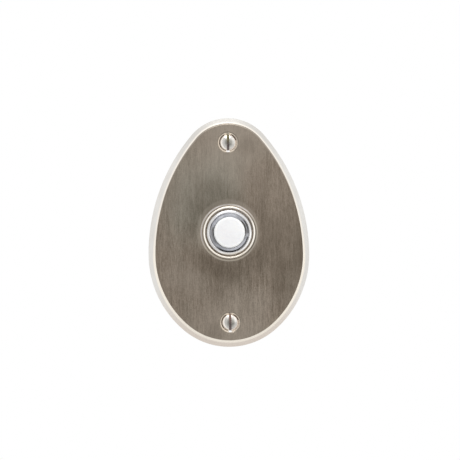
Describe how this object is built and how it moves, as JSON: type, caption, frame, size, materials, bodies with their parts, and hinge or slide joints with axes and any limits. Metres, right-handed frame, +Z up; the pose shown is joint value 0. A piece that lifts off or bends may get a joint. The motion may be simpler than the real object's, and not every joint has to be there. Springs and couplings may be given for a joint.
{
  "type": "doorbell push button",
  "caption": "Egg-shaped metal doorbell plate, screwed to the wall, with a round white lit push button in a raised collar.",
  "frame": {"origin": "on the push button's axis where it meets the wall, halfway between the two mounting screws", "axes": "+Z up the wall, towards the small end of the egg; +Y into the wall, along the screws; +X to the right of someone facing the plate, whose front looks along -Y"},
  "size_m": [0.0636, 0.0301, 0.0902],
  "materials": {
    "plate_metal": "warm grey cast metal, brushed upright on the face, bright on the bevel and collar",
    "bezel_metal": "nickel plated, satin bright",
    "screw_metal": "nickel-plated steel, satin",
    "clear_plastic": "clear moulded plastic",
    "cap_plastic": "white translucent plastic, smooth",
    "plunger_plastic": "natural moulded plastic",
    "contact_brass": "bright brass sheet",
    "spring_steel": "spring wire",
    "base_plastic": "brown phenolic board",
    "nut_metal": "zinc plated",
    "gasket_rubber": "black rubber",
    "lamp_lens": "tinted clear resin",
    "lead_tin": "tinned copper wire",
    "resistor_body": "tan lacquer",
    "solder": "solder, dull bright"
  },
  "bodies": {
    "base": {"cover_plate": "plate_metal", "mounting_screw_top": "screw_metal", "mounting_screw_bottom": "screw_metal", "bezel_barrel": "bezel_metal", "bezel_gasket": "gasket_rubber", "lock_washer": "nut_metal", "jam_nut": "nut_metal", "halo_ring": "clear_plastic", "return_spring": "spring_steel", "insulating_base": "base_plastic", "contact_post_left": "contact_brass", "contact_post_right": "contact_brass", "terminal_plate_left": "contact_brass", "terminal_plate_right": "contact_brass", "clamp_washer_left": "contact_brass", "clamp_washer_right": "contact_brass", "terminal_screw_left": "contact_brass", "terminal_screw_right": "contact_brass", "led_lamp": "lamp_lens", "led_lead_left": "lead_tin", "led_lead_right": "lead_tin", "resistor": "resistor_body", "resistor_lead": "lead_tin", "solder_joint_left": "solder", "solder_joint_right": "solder"},
    "button": {"push_cap": "cap_plastic", "plunger": "plunger_plastic", "contact_ring": "contact_brass"}
  },
  "joints": [
    {"name": "button_press", "type": "slide", "parent": "base", "child": "button", "axis": [0, 1, 0], "range_m": [0, 0.0015], "stiffness_N_per_m": 800, "springref_m": -0.0015, "deforming": ["return_spring"]}
  ]
}
